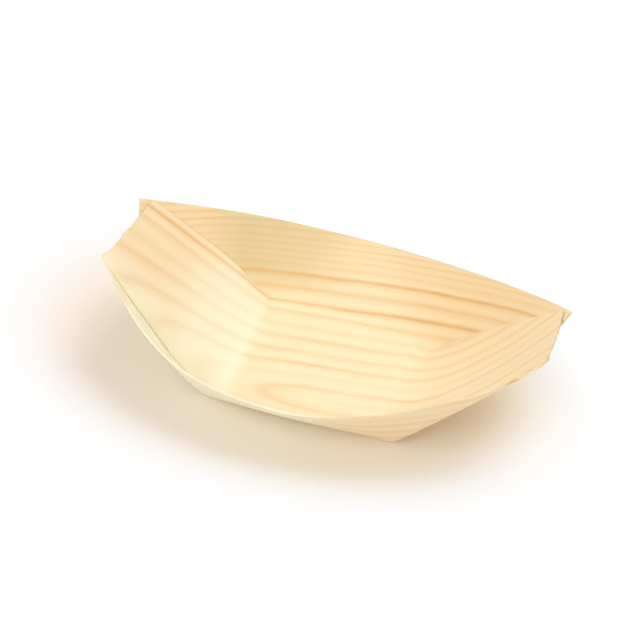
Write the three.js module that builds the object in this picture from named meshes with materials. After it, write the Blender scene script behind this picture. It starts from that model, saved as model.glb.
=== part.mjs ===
import * as THREE from 'three';

// Folded pine snack boat. One thin sheet of veneer is folded up into a flat floor, two end
// panels and two side walls. At each corner the side wall runs on behind the end panel as the
// outer leaf of a pleat, turns back on itself as the inner leaf, and a film of glue holds the
// inner leaf to the back of the end panel. Each panel between two creases is its own solid.
// +X points to the right end, +Y to the far wall, +Z up. The origin is on the ground, under
// the middle of the boat. All sizes are in millimetres.

// The sheet and the layers of a pleat
const VENEER = 0.6;
const CREASE_GAP = 0.3;
const LEAF_GAP = 0.15;
const GLUE_FILM = 0.12;
const GLUE_SEAT = 0.1;

// The rim, along the two long edges of the sheet, from ear tip to ear tip
const EAR_TIP_X = 70;
const WAIST_X = -3;
const WAIST_HALF_WIDTH = 40;
const WAIST_HEIGHT = 18.5;

// The left end
const LEFT_CREASE_X = 33.5;
const LEFT_CREASE_HALF_WIDTH = 25;
const LEFT_TIP_HALF_WIDTH = 13.8;
const LEFT_TIP_HEIGHT = 36.1;
const LEFT_SHOULDER_X = 42.7;
const LEFT_SHOULDER_WEIGHT = 1.46;
const LEFT_EAR = 1.8;
const LEFT_TRIM = 1.2;

// The right end
const RIGHT_CREASE_X = 29.5;
const RIGHT_CREASE_HALF_WIDTH = 24.6;
const RIGHT_TIP_HALF_WIDTH = 10.6;
const RIGHT_TIP_HEIGHT = 38.8;
const RIGHT_SHOULDER_X = 46.8;
const RIGHT_SHOULDER_WEIGHT = 0.53;
const RIGHT_EAR = 0.8;
const RIGHT_TRIM = 0.2;

// The bends between the floor and what stands up from it
const SIDE_BEND = 2.2;
const CORNER_BEND = 2;
const BEND_WEIGHT = 2;
const END_BEND = 10;
const END_LEAN = 3;
const END_WEIGHT = 1;

// The pleats: how far a leaf reaches behind its end panel, and how far its free end drops
const FLAP_CENTRE_GAP = 1.5;
const FLAP_DROP = 6.5;
const FLAP_SEAT = 0.6;
const CORNER_RELIEF = 0.6;
const PLEAT_START = 0.22;

// The part of an inner leaf that a glue film covers, as shares of its width and of its height
const FILM_SHARES = [0.2, 0.85];
const FILM_RISES = [0.5, 0.92];

const PINE = { color: '#f0d6a2', roughness: 0.6, metalness: 0 };
const SHADED_PINE = { color: '#e2bf86', roughness: 0.65, metalness: 0 };
const DRIED_GLUE = { color: '#efe6cf', roughness: 0.4, metalness: 0 };

const END_SIZES = {
  left: {
    sign: -1,
    creaseX: LEFT_CREASE_X,
    creaseHalfWidth: LEFT_CREASE_HALF_WIDTH,
    tipHalfWidth: LEFT_TIP_HALF_WIDTH,
    tipHeight: LEFT_TIP_HEIGHT,
    shoulderX: LEFT_SHOULDER_X,
    shoulderWeight: LEFT_SHOULDER_WEIGHT,
    ear: LEFT_EAR,
    trim: LEFT_TRIM,
  },
  right: {
    sign: 1,
    creaseX: RIGHT_CREASE_X,
    creaseHalfWidth: RIGHT_CREASE_HALF_WIDTH,
    tipHalfWidth: RIGHT_TIP_HALF_WIDTH,
    tipHeight: RIGHT_TIP_HEIGHT,
    shoulderX: RIGHT_SHOULDER_X,
    shoulderWeight: RIGHT_SHOULDER_WEIGHT,
    ear: RIGHT_EAR,
    trim: RIGHT_TRIM,
  },
};
const SIDES = { near: -1, far: 1 };

// Heights and layer distances, measured between the middles of the veneer
const FLOOR_MIDDLE = VENEER / 2;
const FILM_OFFSET = VENEER / 2 + GLUE_SEAT + GLUE_FILM / 2;
const INNER_LEAF_OFFSET = VENEER + GLUE_FILM + 2 * GLUE_SEAT;
const OUTER_LEAF_OFFSET = INNER_LEAF_OFFSET + VENEER + LEAF_GAP;

// Ribs close up towards a floor corner at this power, so that those at the waist stand square
// to the crease and the last ones fan out from the corner
const FAN_POWER = (2 * EAR_TIP_X) / (LEFT_CREASE_X + RIGHT_CREASE_X);

// Share of a surface that is stepped over to find its slope
const NUDGE = 0.01;

// Numbers of steps in each panel
const WALL_STEPS = 46;
const WALL_ROWS = 10;
const END_STEPS = 12;
const END_ROWS = 11;
const LEAF_STEPS = 5;
const LEAF_ROWS = 8;
const FILM_STEPS = 3;

const steps = (count, from = 0, to = 1) =>
  Array.from({ length: count + 1 }, (_, i) => from + ((to - from) * i) / count);

const mix = (a, b, share) => a.clone().lerp(b, share);

// A curve that leaves start towards lean and comes into end from lean. A higher weight draws
// it closer to lean, and so makes a tighter bend.
class ConicArc extends THREE.Curve {
  constructor(start, lean, end, weight) {
    super();
    this.start = start;
    this.lean = lean;
    this.end = end;
    this.weight = weight;
    this.arcLengthDivisions = 60;
  }

  getPoint(t, target = new THREE.Vector3()) {
    const a = (1 - t) ** 2;
    const b = 2 * this.weight * t * (1 - t);
    const c = t ** 2;
    target.set(0, 0, 0).addScaledVector(this.start, a);
    target.addScaledVector(this.lean, b).addScaledVector(this.end, c);
    return target.divideScalar(a + b + c);
  }
}

// Corner points of one end on one side: where the creases cross, where the flat floor stops,
// and the ear tip on the rim
const creaseCorner = (end, side) =>
  new THREE.Vector3(end.sign * end.creaseX, side * end.creaseHalfWidth, FLOOR_MIDDLE);
const floorCorner = (end, side) =>
  new THREE.Vector3(
    end.sign * (end.creaseX - CORNER_BEND),
    side * (end.creaseHalfWidth - SIDE_BEND),
    FLOOR_MIDDLE,
  );
const earTip = (end, side) =>
  new THREE.Vector3(end.sign * EAR_TIP_X, side * end.tipHalfWidth, end.tipHeight);

// Middle surface of a side wall. Distance runs along the rim from the left ear tip, and rise
// goes up a rib, from 0 at the edge of the flat floor to 1 at the rim.
class WallSurface {
  constructor(side) {
    const { left, right } = END_SIZES;
    const waist = new THREE.Vector3(WAIST_X, side * WAIST_HALF_WIDTH, WAIST_HEIGHT);
    const shoulder = (end) =>
      new THREE.Vector3(end.sign * end.shoulderX, waist.y, WAIST_HEIGHT);
    this.side = side;
    this.rim = new THREE.CurvePath();
    this.rim.add(new ConicArc(earTip(left, side), shoulder(left), waist, left.shoulderWeight));
    this.rim.add(new ConicArc(waist, shoulder(right), earTip(right, side), right.shoulderWeight));
    this.length = this.rim.getLength();
    this.ribs = new Map();
  }

  // Distance along the rim of a place given from the ear tip of one end
  fromTip(end, distance) {
    return end.sign < 0 ? distance : this.length - distance;
  }

  rib(distance) {
    if (!this.ribs.has(distance)) {
      const top = this.rim.getPoint(distance / this.length);
      const outward = Math.min(1, Math.abs(top.x) / EAR_TIP_X);
      const fan = Math.sign(top.x) * (1 - (1 - outward) ** FAN_POWER);
      const share = (1 + fan) / 2;
      const { left, right } = END_SIZES;
      const foot = mix(floorCorner(left, this.side), floorCorner(right, this.side), share);
      const lean = mix(creaseCorner(left, this.side), creaseCorner(right, this.side), share);
      this.ribs.set(distance, new ConicArc(foot, lean, top, BEND_WEIGHT));
    }
    return this.ribs.get(distance);
  }

  point(distance, rise) {
    return this.rib(distance).getPointAt(rise);
  }

  // Unit normal that points into the boat
  normal(distance, rise) {
    const reach = NUDGE * this.length;
    const low = this.point(Math.max(0, distance - reach), rise);
    const high = this.point(Math.min(this.length, distance + reach), rise);
    const below = this.point(distance, Math.max(0, rise - NUDGE));
    const above = this.point(distance, Math.min(1, rise + NUDGE));
    const inside = high.sub(low).cross(above.sub(below)).normalize();
    return inside.z < 0 ? inside.negate() : inside;
  }
}

const WALLS = { near: new WallSurface(SIDES.near), far: new WallSurface(SIDES.far) };

// Middle surface of an end panel. Each mitre edge follows the last rib of its wall, in front of
// it by the thickness of the pleat. Between the edges the panel swells to a centre line that
// leaves the floor in a longer, softer bend.
class EndSurface {
  constructor(end) {
    this.end = end;
    const foot = new THREE.Vector3(end.sign * (end.creaseX - END_BEND), 0, FLOOR_MIDDLE);
    const lean = new THREE.Vector3(end.sign * (end.creaseX + END_LEAN), 0, FLOOR_MIDDLE);
    this.centre = new ConicArc(foot, lean, this.ruled(0, 1), END_WEIGHT);
  }

  edge(wall, rise) {
    const distance = wall.fromTip(this.end, this.end.ear);
    const rib = wall.rib(distance);
    const up = rise * (1 - this.end.trim / rib.getLength());
    const inFront = THREE.MathUtils.smoothstep(rise, 0, PLEAT_START);
    const point = rib.getPointAt(up);
    point.addScaledVector(wall.normal(distance, up), OUTER_LEAF_OFFSET * inFront);
    point.y -= wall.side * CORNER_RELIEF * (1 - inFront);
    return point;
  }

  // Across goes from -1 at the near edge to 1 at the far edge, and rise from 0 at the floor to
  // 1 at the rim
  ruled(across, rise) {
    return mix(this.edge(WALLS.near, rise), this.edge(WALLS.far, rise), (across + 1) / 2);
  }

  point(across, rise) {
    const swell = this.centre.getPointAt(rise).sub(this.ruled(0, rise));
    return this.ruled(across, rise).addScaledVector(swell, 1 - across ** 2);
  }

  // Unit normal that points out of the boat
  normal(across, rise) {
    const low = this.point(Math.max(-1, across - NUDGE), rise);
    const high = this.point(Math.min(1, across + NUDGE), rise);
    const below = this.point(across, Math.max(0, rise - NUDGE));
    const above = this.point(across, Math.min(1, rise + NUDGE));
    const out = high.sub(low).cross(above.sub(below)).normalize();
    return out.z > 0 ? out.negate() : out;
  }

  halfWidth(rise) {
    return this.edge(WALLS.far, rise).distanceTo(this.edge(WALLS.near, rise)) / 2;
  }

  get length() {
    return WALLS.far.rib(WALLS.far.fromTip(this.end, this.end.ear)).getLength() - this.end.trim;
  }

  // A place behind the panel, given by its distance in from the edge of one side
  layer(side, rise, inset, offset) {
    const across = side * (1 - inset / this.halfWidth(rise));
    return this.point(across, rise).addScaledVector(this.normal(across, rise), offset);
  }
}

// Closed shell around a grid of middle points, which are moved by half the thickness to both
// sides along the normals of the grid
function sheet(rows, thickness) {
  const height = rows.length;
  const width = rows[0].length;
  const within = (index, count) => THREE.MathUtils.clamp(index, 0, count - 1);
  const at = (i, j) => rows[within(i, height)][within(j, width)];
  const corners = [];
  for (const face of [0.5, -0.5]) {
    for (let i = 0; i < height; i += 1) {
      for (let j = 0; j < width; j += 1) {
        const down = at(i + 1, j).clone().sub(at(i - 1, j));
        const along = at(i, j + 1).clone().sub(at(i, j - 1));
        const normal = along.cross(down).normalize();
        corners.push(at(i, j).clone().addScaledVector(normal, face * thickness));
      }
    }
  }
  const top = (i, j) => i * width + j;
  const bottom = (i, j) => height * width + top(i, j);
  const triangles = [];
  const quad = (a, b, c, d) => triangles.push(a, b, c, a, c, d);
  for (let i = 0; i + 1 < height; i += 1) {
    for (let j = 0; j + 1 < width; j += 1) {
      quad(top(i, j), top(i, j + 1), top(i + 1, j + 1), top(i + 1, j));
      quad(bottom(i, j), bottom(i + 1, j), bottom(i + 1, j + 1), bottom(i, j + 1));
    }
    quad(top(i, 0), top(i + 1, 0), bottom(i + 1, 0), bottom(i, 0));
    quad(top(i + 1, width - 1), top(i, width - 1), bottom(i, width - 1), bottom(i + 1, width - 1));
  }
  for (let j = 0; j + 1 < width; j += 1) {
    quad(top(0, j + 1), top(0, j), bottom(0, j), bottom(0, j + 1));
    quad(top(height - 1, j), top(height - 1, j + 1), bottom(height - 1, j + 1), bottom(height - 1, j));
  }
  if (volume(corners, triangles) < 0) triangles.reverse();
  const positions = corners.flatMap((corner) => corner.toArray());
  const geometry = new THREE.BufferGeometry();
  geometry.setAttribute('position', new THREE.Float32BufferAttribute(positions, 3));
  geometry.setIndex(triangles);
  geometry.computeVertexNormals();
  return geometry;
}

// Signed volume of a closed shell, negative when its faces point in
function volume(corners, triangles) {
  let total = 0;
  for (let k = 0; k < triangles.length; k += 3) {
    const [a, b, c] = triangles.slice(k, k + 3).map((index) => corners[index]);
    total += a.dot(b.clone().cross(c)) / 6;
  }
  return total;
}

// The floor, flat up to where the bends begin. Its ends are drawn in where the end panels
// leave it in a long bend.
function floorPanel() {
  const { left, right } = END_SIZES;
  const corner = (end, side) => {
    const point = floorCorner(end, side);
    return [point.x - end.sign * CREASE_GAP, point.y - side * CREASE_GAP];
  };
  const drawnIn = (end) => end.sign * (end.creaseX - 2 * END_BEND + CORNER_BEND - CREASE_GAP);
  const outline = new THREE.Shape();
  outline.moveTo(...corner(left, SIDES.near));
  outline.lineTo(...corner(right, SIDES.near));
  outline.quadraticCurveTo(drawnIn(right), 0, ...corner(right, SIDES.far));
  outline.lineTo(...corner(left, SIDES.far));
  outline.quadraticCurveTo(drawnIn(left), 0, ...corner(left, SIDES.near));
  const options = { depth: VENEER, bevelEnabled: false, curveSegments: END_STEPS };
  return new THREE.ExtrudeGeometry(outline, options);
}

// A side wall, from the edge of the floor up to the rim, as far as the mitres
function sideWall(wall) {
  const from = wall.fromTip(END_SIZES.left, END_SIZES.left.ear);
  const to = wall.fromTip(END_SIZES.right, END_SIZES.right.ear);
  const columns = steps(WALL_STEPS, from, to);
  const row = (rise) => columns.map((distance) => wall.point(distance, rise));
  return sheet(steps(WALL_ROWS).map(row), VENEER);
}

// An end panel, between its two mitre edges
function endPanel(surface) {
  const columns = steps(END_STEPS, -1, 1);
  const row = (rise) => columns.map((across) => surface.point(across, rise));
  return sheet(steps(END_ROWS).map(row), VENEER);
}

// Where the leaves of a pleat end behind an end panel: the inset of their shared fold at the
// rim, and how far up the panel it lies there
function flapEnd(surface) {
  return {
    inset: surface.halfWidth(1) - FLAP_CENTRE_GAP / 2,
    rise: 1 - FLAP_DROP / surface.length,
  };
}

// A fan of points behind an end panel. It opens from the floor corner, and share goes from 0
// at the mitre to 1 at the fold.
function fan(surface, side, shares, rises, offset) {
  const fold = flapEnd(surface);
  return rises.map((rise) =>
    shares.map((share) => {
      const topRise = THREE.MathUtils.lerp(1 - FLAP_SEAT / surface.length, fold.rise, share);
      const topInset = THREE.MathUtils.lerp(FLAP_SEAT, fold.inset, share);
      return surface.layer(side, rise * topRise, rise * topInset, offset);
    }),
  );
}

// The inner leaf, next to the end panel
function innerLeaf(surface, side) {
  const rises = steps(LEAF_ROWS, PLEAT_START);
  return sheet(fan(surface, side, steps(LEAF_STEPS), rises, INNER_LEAF_OFFSET), VENEER);
}

// The film of glue between the end panel and the inner leaf
function glueFilm(surface, side) {
  const shares = steps(FILM_STEPS, ...FILM_SHARES);
  const rises = steps(LEAF_ROWS, ...FILM_RISES);
  return sheet(fan(surface, side, shares, rises, FILM_OFFSET), GLUE_FILM);
}

// The outer leaf. It carries the wall on from the mitre to the ear tip, then lies flat behind
// the inner leaf as far as their fold.
function outerLeaf(surface, wall) {
  const { end } = surface;
  const fold = flapEnd(surface);
  const earShare = (2 * end.ear + VENEER) / fold.inset;
  const rows = steps(LEAF_ROWS, PLEAT_START).map((rise) => {
    const ear = [end.ear - CREASE_GAP, 0].map((fromTip) =>
      wall.point(wall.fromTip(end, fromTip), rise),
    );
    const flat = steps(LEAF_STEPS - 1, earShare, 1).map((share) =>
      surface.layer(
        wall.side,
        rise * THREE.MathUtils.lerp(1, fold.rise, share),
        rise * THREE.MathUtils.lerp(0, fold.inset, share),
        OUTER_LEAF_OFFSET,
      ),
    );
    return [...ear, ...flat];
  });
  return sheet(rows, VENEER);
}

function addPanel(group, name, geometry, finish) {
  const mesh = new THREE.Mesh(geometry, new THREE.MeshStandardMaterial(finish));
  mesh.name = name;
  group.add(mesh);
}

const boat = new THREE.Group();
boat.name = 'snack_boat';
addPanel(boat, 'floor_panel', floorPanel(), PINE);
for (const [sideName, wall] of Object.entries(WALLS)) {
  addPanel(boat, `${sideName}_side_wall`, sideWall(wall), PINE);
}
for (const [endName, end] of Object.entries(END_SIZES)) {
  const surface = new EndSurface(end);
  addPanel(boat, `${endName}_end_panel`, endPanel(surface), PINE);
  for (const [sideName, wall] of Object.entries(WALLS)) {
    const corner = `${sideName}_${endName}`;
    addPanel(boat, `${corner}_inner_leaf`, innerLeaf(surface, wall.side), SHADED_PINE);
    addPanel(boat, `${corner}_outer_leaf`, outerLeaf(surface, wall), SHADED_PINE);
    addPanel(boat, `${corner}_glue_film`, glueFilm(surface, wall.side), DRIED_GLUE);
  }
}

export default boat;
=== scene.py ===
import math

import bpy
import numpy as np
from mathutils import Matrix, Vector


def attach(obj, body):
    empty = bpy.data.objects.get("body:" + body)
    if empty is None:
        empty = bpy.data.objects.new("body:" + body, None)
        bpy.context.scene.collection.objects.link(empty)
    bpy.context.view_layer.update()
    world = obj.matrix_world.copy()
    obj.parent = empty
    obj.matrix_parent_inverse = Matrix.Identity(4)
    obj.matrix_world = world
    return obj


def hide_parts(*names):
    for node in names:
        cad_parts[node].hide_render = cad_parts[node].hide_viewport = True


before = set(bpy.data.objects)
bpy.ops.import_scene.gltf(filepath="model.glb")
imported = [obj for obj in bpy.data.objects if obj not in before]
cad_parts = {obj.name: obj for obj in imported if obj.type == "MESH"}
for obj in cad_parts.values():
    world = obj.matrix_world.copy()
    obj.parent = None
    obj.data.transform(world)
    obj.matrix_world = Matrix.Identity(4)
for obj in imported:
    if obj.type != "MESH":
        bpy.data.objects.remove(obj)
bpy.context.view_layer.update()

# Floor
# The flat middle of one rectangular sheet of pine veneer, sliced with the grain along the boat.
# Everything else is the same sheet, bent up around it, so its grain runs on over every crease.
VENEER = 0.0006
EDGE_ROUND = 0.00012
SHARP_EDGE = math.radians(50)
FLOOR_LEVEL = VENEER / 2
# Where the end creases cross the middle line, and the corners of the floor, along and across
CREASE_X = {"left": 0.0335, "right": 0.0295}
CORNERS = {("left", "far"): (0.0335, 0.0250), ("left", "near"): (0.0354, 0.0268),
           ("right", "far"): (0.0295, 0.0246), ("right", "near"): (0.0295, 0.0246)}
SIDE_BEND = 0.0022
CORNER_BEND = 0.002
END_BEND = 0.010
SIGN = {"left": -1, "right": 1}
SIDE = {"near": -1, "far": 1}
FLOOR_COLUMNS = 60
FLOOR_ROWS = 60
EARLY_WOOD = (0.935, 0.790, 0.535, 1)
LATE_WOOD = (0.780, 0.490, 0.200, 1)
# Warm wood is the wood's own tone in random clouds, and painted shade towards the ends and the far rim
WARM_TONE_AND_SHADE = (0.935, 0.745, 0.455, 1)
# Colour of a painted highlight, where the wood catches the light
PAINTED_HIGHLIGHT_COLOUR = (0.945, 0.910, 0.710, 1)
# Colour of painted shade on a patch of the far wall
SHADE_PATCH_COLOUR = (0.790, 0.645, 0.370, 1)
CUT_EARLY_WOOD = (0.880, 0.720, 0.470, 1)
CUT_LATE_WOOD = (0.660, 0.420, 0.180, 1)
# The cut edges take the same mix of warm tone and painted shade
CUT_WARM_TONE_AND_SHADE = (0.820, 0.630, 0.380, 1)

# The log that the sheet was sliced from, in millimetres on the flat sheet. Its heart lies along a
# slanting line, and it sinks under the sheet to the left of the peak, where the rings close.
MILLIMETRES_IN_METRE = 1000.0
HEART_ACROSS = -15.0
HEART_SLANT = 0.1
PEAK_ALONG = 4.0
HEART_SINK = 0.227
LOG_RADIUS = 80.0
RINGS = ((0, 0.2), (5.1, 0.42), (10, 0.18), (14.6, 0.52), (19.7, 0.4), (25.5, 0.44), (30.4, 0.24),
         (36.8, 0.46), (41.0, 1.0), (45.9, 0.5), (50.2, 1.0), (53.2, 0.26), (55.4, 0.36), (57.4, 0.34),
         (59.4, 0.38), (61.4, 0.38), (63.8, 0.44), (65.8, 0.7), (68.1, 0.45), (70.5, 0.4), (73, 0.5),
         (76, 0.4), (LOG_RADIUS, 0.4))
RING_SHADE = ((0, 0.85), (0.1, 0.42), (0.22, 0.1), (0.36, 0), (0.52, 0.07), (0.75, 0.4), (0.92, 1),
              (1, 0.85))
SHEET_REACH = 100.0
SWAY_SIZE = 10.0
SWAYS = ((-100, 0), (8, 0.3), (20, 1.5), (29, 0), (38, -0.9), (50, -0.3), (65, 1.2), (80, 5), (100, 10))
SWAY_BAND = (15.0, 23.0)

# Unevenness of the wood: scale along and across the grain, and detail, with how much each counts
WOBBLE = (0.035, 0.09, 2.0)
RING_PATCHES = (0.03, 0.9, 2.0)
PATCH_SHARE = 1.1
STREAKS = (0.05, 2.6, 3.0)
STREAK_SHARE = 0.17
FINE_FIBRES = (0.16, 9.0, 2.0)
FINE_SHARE = 0.07
RESIN_DUCTS = (0.22, 6.5, 1.0)
DUCT_RANGE = (0.19, 0.3)
DUCT_SHARE = 0.1
CLOUDS = (0.03, 0.08, 2.0)
CLOUD_SHARE = 0.45

# Where on the sheet the wood turns warm, pale or dusky, each pair the two ends of one soft edge: warm is
# painted shade towards the ends and the far rim, pale is a painted highlight, dusky is a patch of painted
# shade
# Painted shade towards the ends and along the far rim
END_SHADE = (32.0, 75.0)
END_SHADE_SHARE = 0.65
END_SHADE_SKEW = 1.2
FAR_RIM_SHADE = (30.0, 46.0)
FAR_RIM_SHADE_SHARE = 0.55
# Painted highlight over the left end's bend, in its near corner and along the near rim
HIGHLIGHT_BEND = (-31.0, -26.0)
HIGHLIGHT_BEND_SHARE = 0.75
HIGHLIGHT_BEND_SLANT = 0.1
HIGHLIGHT_BEND_START = (-66.0, -42.0)
HIGHLIGHT_BEND_SIDE = (19.0, 25.0)
HIGHLIGHT_RIM = (-29.0, -24.0)
HIGHLIGHT_RIM_START = (-74.0, -60.0)
HIGHLIGHT_RIM_STOP = (-10.0, 25.0)
HIGHLIGHT_CORNER = (-22.0, -2.0)
HIGHLIGHT_CORNER_SHARE = 0.6
HIGHLIGHT_CORNER_STOP = (-44.0, -34.0)
RINGS_LOST_IN_HIGHLIGHT = 0.6
# Painted shade on a patch of the far wall, left of the waist
SHADE_PATCH_RIM = (24.0, 32.0)
SHADE_PATCH_START = (-62.0, -40.0)
SHADE_PATCH_STOP = (-27.0, -7.0)

# Roughness, and height as a share of the relief
EARLY_ROUGHNESS = 0.5
LATE_GLOSS = 0.1
FIBRE_ROUGHNESS = 0.2
LATE_HEIGHT = 0.35
FIBRE_HEIGHT = 0.5
DUCT_DEPTH = 0.3
GRAIN_RELIEF = 0.0001
FACE_BUMP = 0.35
CUT_BUMP = 0.6


def place(tree, kind, inputs=None, **settings):
    """Adds a node. An input that is a socket is linked, and any other value is set."""
    node = tree.nodes.new(kind)
    for name, value in settings.items():
        setattr(node, name, value)
    for name, value in (inputs or {}).items():
        if isinstance(value, bpy.types.NodeSocket):
            tree.links.new(value, node.inputs[name])
        else:
            node.inputs[name].default_value = value
    return node


def maths(tree, operation, *values):
    node = place(tree, "ShaderNodeMath", dict(enumerate(values)), operation=operation)
    return node.outputs[0]


def vectors(tree, operation, *values):
    slots = (0, "Scale") if operation == "SCALE" else (0, 1)
    node = place(tree, "ShaderNodeVectorMath", dict(zip(slots, values)), operation=operation)
    return node.outputs["Value" if operation == "DISTANCE" else "Vector"]


def new_group(name, kind, inputs, outputs):
    """An empty node group with named sockets, and its input and output nodes."""
    tree = bpy.data.node_groups.new(name, kind)
    for socket, form in inputs.items():
        tree.interface.new_socket(name=socket, in_out="INPUT", socket_type="NodeSocket" + form)
    for socket, form in outputs.items():
        tree.interface.new_socket(name=socket, in_out="OUTPUT", socket_type="NodeSocket" + form)
    given = tree.nodes.new("NodeGroupInput").outputs
    return tree, given, tree.nodes.new("NodeGroupOutput")


def drawn_curve(tree, value, points):
    """Value read off straight lines between points, whose values run from 0 to 1 both ways."""
    node = place(tree, "ShaderNodeFloatCurve", {"Value": value})
    line = node.mapping.curves[0].points
    line[0].location, line[1].location = points[0], points[-1]
    for across, up in points[1:-1]:
        line.new(across, up)
    for point in line:
        point.handle_type = "VECTOR"
    node.mapping.update()
    return node.outputs["Value"]


def stretched_noise(tree, along, across, along_scale, across_scale, detail):
    """Cloudy values about 0, drawn out along the grain."""
    spot = place(tree, "ShaderNodeCombineXYZ", {
        "X": maths(tree, "MULTIPLY", along, along_scale),
        "Y": maths(tree, "MULTIPLY", across, across_scale)})
    noise = place(tree, "ShaderNodeTexNoise", {
        "Vector": spot.outputs["Vector"], "Scale": 1.0, "Detail": detail}, noise_dimensions="2D")
    return maths(tree, "SUBTRACT", noise.outputs["Fac"], 0.5)


def mixed(tree, share, first, second):
    inputs = {0: share, 6: first, 7: second}
    return place(tree, "ShaderNodeMix", inputs, data_type="RGBA").outputs[2]


def ranged(tree, value, low, high, first, second):
    inputs = {"Value": value, "From Min": low, "From Max": high, "To Min": first, "To Max": second}
    return place(tree, "ShaderNodeMapRange", inputs, interpolation_type="SMOOTHSTEP").outputs["Result"]


def limited(tree, value, low, high):
    return maths(tree, "MAXIMUM", maths(tree, "MINIMUM", value, high), low)


def overlap(tree, first, *others):
    """A mask where all of these masks lie over each other."""
    for other in others:
        first = maths(tree, "MULTIPLY", first, other)
    return first


def fibre_line(tree, along, across):
    """How far across the sheet a fibre runs from the heart line, which it follows with a sway."""
    heart = maths(tree, "MULTIPLY_ADD", along, HEART_SLANT, HEART_ACROSS)
    reach = maths(tree, "MULTIPLY_ADD", along, 0.5 / SHEET_REACH, 0.5)
    points = [(0.5 + 0.5 * spot / SHEET_REACH, 0.5 + 0.5 * sway / SWAY_SIZE) for spot, sway in SWAYS]
    sway = maths(tree, "MULTIPLY_ADD", drawn_curve(tree, reach, points), 2 * SWAY_SIZE, -SWAY_SIZE)
    sway = maths(tree, "MULTIPLY", sway, ranged(tree, across, *SWAY_BAND, 1.0, 0.0))
    return maths(tree, "SUBTRACT", maths(tree, "SUBTRACT", across, heart), sway)


def ring_radius(tree, along, across, fibre):
    """Distance from the heart of the log, which sinks under the sheet to the left of the peak."""
    off_heart = maths(tree, "ADD", stretched_noise(tree, along, across, *WOBBLE), fibre)
    sunk = maths(tree, "MAXIMUM", maths(tree, "SUBTRACT", PEAK_ALONG, along), 0.0)
    sunk = maths(tree, "MULTIPLY", sunk, HEART_SINK)
    squares = [maths(tree, "MULTIPLY", part, part) for part in (off_heart, sunk)]
    return maths(tree, "SQRT", maths(tree, "ADD", *squares))


def late_share(tree, along, radius):
    """Share of late wood, darkest at the end of each year."""
    share = maths(tree, "DIVIDE", radius, LOG_RADIUS)
    years = len(RINGS) - 1
    year = drawn_curve(tree, share, [(r / LOG_RADIUS, k / years) for k, (r, dark) in enumerate(RINGS)])
    year = maths(tree, "MULTIPLY", year, float(years))
    shade = drawn_curve(tree, maths(tree, "FRACT", year), RING_SHADE)
    dark = drawn_curve(tree, share, [(r / LOG_RADIUS, dark) for r, dark in RINGS])
    patch = stretched_noise(tree, along, year, *RING_PATCHES)
    dark = maths(tree, "MULTIPLY", dark, maths(tree, "MULTIPLY_ADD", patch, PATCH_SHARE, 1.0))
    return maths(tree, "MULTIPLY", shade, dark)


def warm_tone_and_shade_share(tree, along, across):
    """Share of warm wood: painted shade that grows towards the ends and the far rim, with clouds of the
    wood's own warm tone.
    """
    skewed = maths(tree, "MULTIPLY_ADD", across, END_SHADE_SKEW, maths(tree, "ABSOLUTE", along))
    warm_and_shade = maths(tree, "ADD", ranged(tree, skewed, *END_SHADE, 0.0, END_SHADE_SHARE),
                 ranged(tree, across, *FAR_RIM_SHADE, 0.0, FAR_RIM_SHADE_SHARE))
    cloud = stretched_noise(tree, along, across, *CLOUDS)
    return limited(tree, maths(tree, "MULTIPLY_ADD", cloud, CLOUD_SHARE, warm_and_shade), 0.0, 1.0)


def painted_highlight_share(tree, along, across):
    """Share of painted highlight, over the left end's bend, in its near corner and along the near rim."""
    slanted = maths(tree, "MULTIPLY_ADD", across, HIGHLIGHT_BEND_SLANT, along)
    bend = overlap(tree, ranged(tree, slanted, *HIGHLIGHT_BEND, HIGHLIGHT_BEND_SHARE, 0.0),
                   ranged(tree, along, *HIGHLIGHT_BEND_START, 0.0, 1.0),
                   ranged(tree, across, *HIGHLIGHT_BEND_SIDE, 1.0, 0.0))
    rim = overlap(tree, ranged(tree, across, *HIGHLIGHT_RIM, 1.0, 0.0),
                  ranged(tree, along, *HIGHLIGHT_RIM_START, 0.0, 1.0),
                  ranged(tree, along, *HIGHLIGHT_RIM_STOP, 1.0, 0.0))
    corner = overlap(tree, ranged(tree, across, *HIGHLIGHT_CORNER, HIGHLIGHT_CORNER_SHARE, 0.0),
                     ranged(tree, along, *HIGHLIGHT_CORNER_STOP, 1.0, 0.0))
    return maths(tree, "MAXIMUM", bend, maths(tree, "MAXIMUM", corner, rim))


def shade_patch_share(tree, along, across):
    """Share of painted shade, a darker patch towards the far rim to the left of the waist."""
    return overlap(tree, ranged(tree, across, *SHADE_PATCH_RIM, 0.0, 1.0),
                   ranged(tree, along, *SHADE_PATCH_START, 0.0, 1.0), ranged(tree, along, *SHADE_PATCH_STOP, 1.0, 0.0))


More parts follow.
